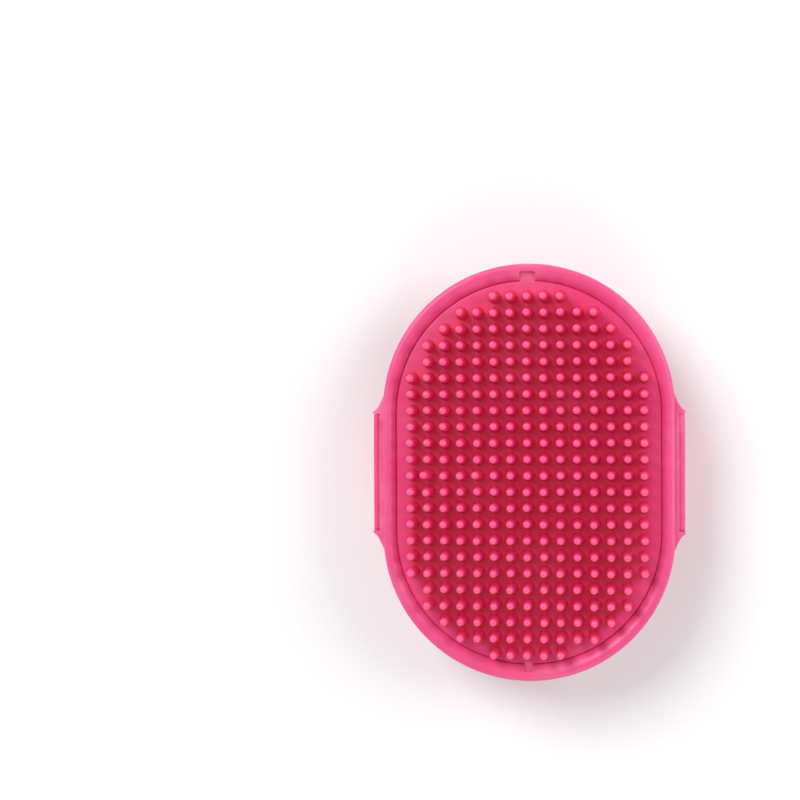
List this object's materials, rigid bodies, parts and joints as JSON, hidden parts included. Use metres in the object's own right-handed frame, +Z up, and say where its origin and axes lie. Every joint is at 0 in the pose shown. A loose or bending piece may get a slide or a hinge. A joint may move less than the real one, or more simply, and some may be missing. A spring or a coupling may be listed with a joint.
{
  "type": "rubber bristle brush",
  "caption": "Oval rubber pet brush: a nub-covered pad in a raised rim, with a two-piece hand strap that hinges at the rim's shoulders and closes with studs in holes.",
  "frame": {"origin": "middle of the brush's outline, at the height of the lowest points of the stud heads, which the brush lies on", "axes": "+Z up, out of the nub face; +Y along the pad towards its wider key slot; +X across the pad, towards the hinge of the strap half with the studs"},
  "size_m": [0.0954, 0.1274, 0.0333],
  "materials": {
    "rim_rubber": "smooth semi-gloss moulded rubber",
    "pad_rubber": "smooth semi-gloss moulded rubber",
    "strap_rubber": "satin moulded rubber",
    "stud_rubber": "satin moulded rubber"
  },
  "bodies": {
    "pad_body": {"rim_frame": "rim_rubber", "bristle_pad": "pad_rubber"},
    "hole_half": {"hole_strap": "strap_rubber"},
    "stud_half": {"stud_strap": "strap_rubber", "strap_studs": "stud_rubber"}
  },
  "joints": [
    {"name": "hole_half_swing", "type": "hinge", "parent": "pad_body", "child": "hole_half", "pos_m": [-0.0466, 0, 0.0237], "axis": [0, 1, 0], "range_deg": [0, 180]},
    {"name": "stud_half_swing", "type": "hinge", "parent": "pad_body", "child": "stud_half", "pos_m": [0.0466, 0, 0.0237], "axis": [0, -1, 0], "range_deg": [0, 162], "deforming": ["strap_studs"]}
  ],
  "couplings": [
    {"joint": "stud_half_swing", "follows": "hole_half_swing", "ratio": 0.9}
  ]
}
